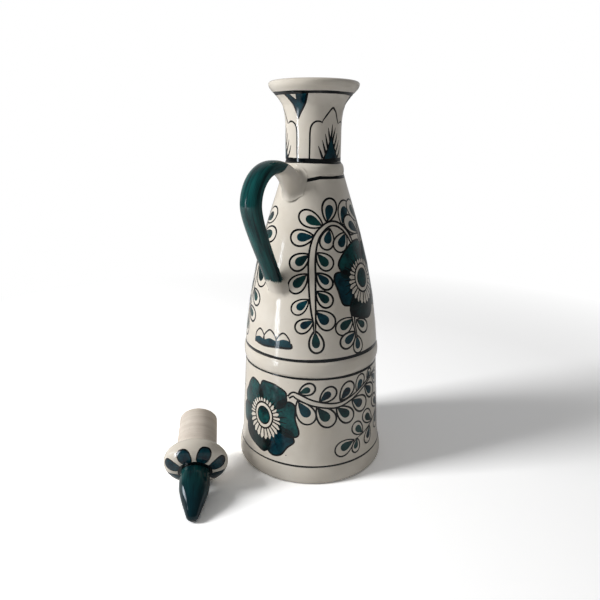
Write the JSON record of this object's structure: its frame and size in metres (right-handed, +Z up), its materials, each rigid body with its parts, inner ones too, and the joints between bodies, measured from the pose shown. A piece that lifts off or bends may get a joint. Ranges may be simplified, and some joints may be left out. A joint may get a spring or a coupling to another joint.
{
  "type": "oil bottle",
  "caption": "Tall ceramic oil bottle with a flared mouth, a strap handle on the shoulder and a pointed stopper lying beside it.",
  "frame": {"origin": "centre of the bottle's flat underside, on the bottle's own axis; the stopper lies beside it on the same surface", "axes": "+Z up along the bottle's axis; -Y towards the picture's viewer; +X to the viewer's right"},
  "size_m": [0.155, 0.1532, 0.2701],
  "materials": {
    "cream_glaze": "clear gloss glaze over cream clay, painted in black and teal",
    "teal_glaze": "brushed dark teal under clear gloss glaze",
    "bare_clay": "unglazed, fine turning lines"
  },
  "bodies": {
    "bottle": {"lower_body": "cream_glaze", "waist_band": "cream_glaze", "upper_body": "cream_glaze", "neck_ring": "cream_glaze", "neck": "cream_glaze", "handle": "teal_glaze"},
    "stopper": {"stopper_plug": "bare_clay", "stopper_collar": "cream_glaze", "stopper_finial": "teal_glaze"}
  },
  "joints": [
    {"name": "stopper_lift", "type": "slide", "parent": "bottle", "child": "stopper", "axis": [0, 0, 1], "range_m": [0, 0.3]}
  ]
}
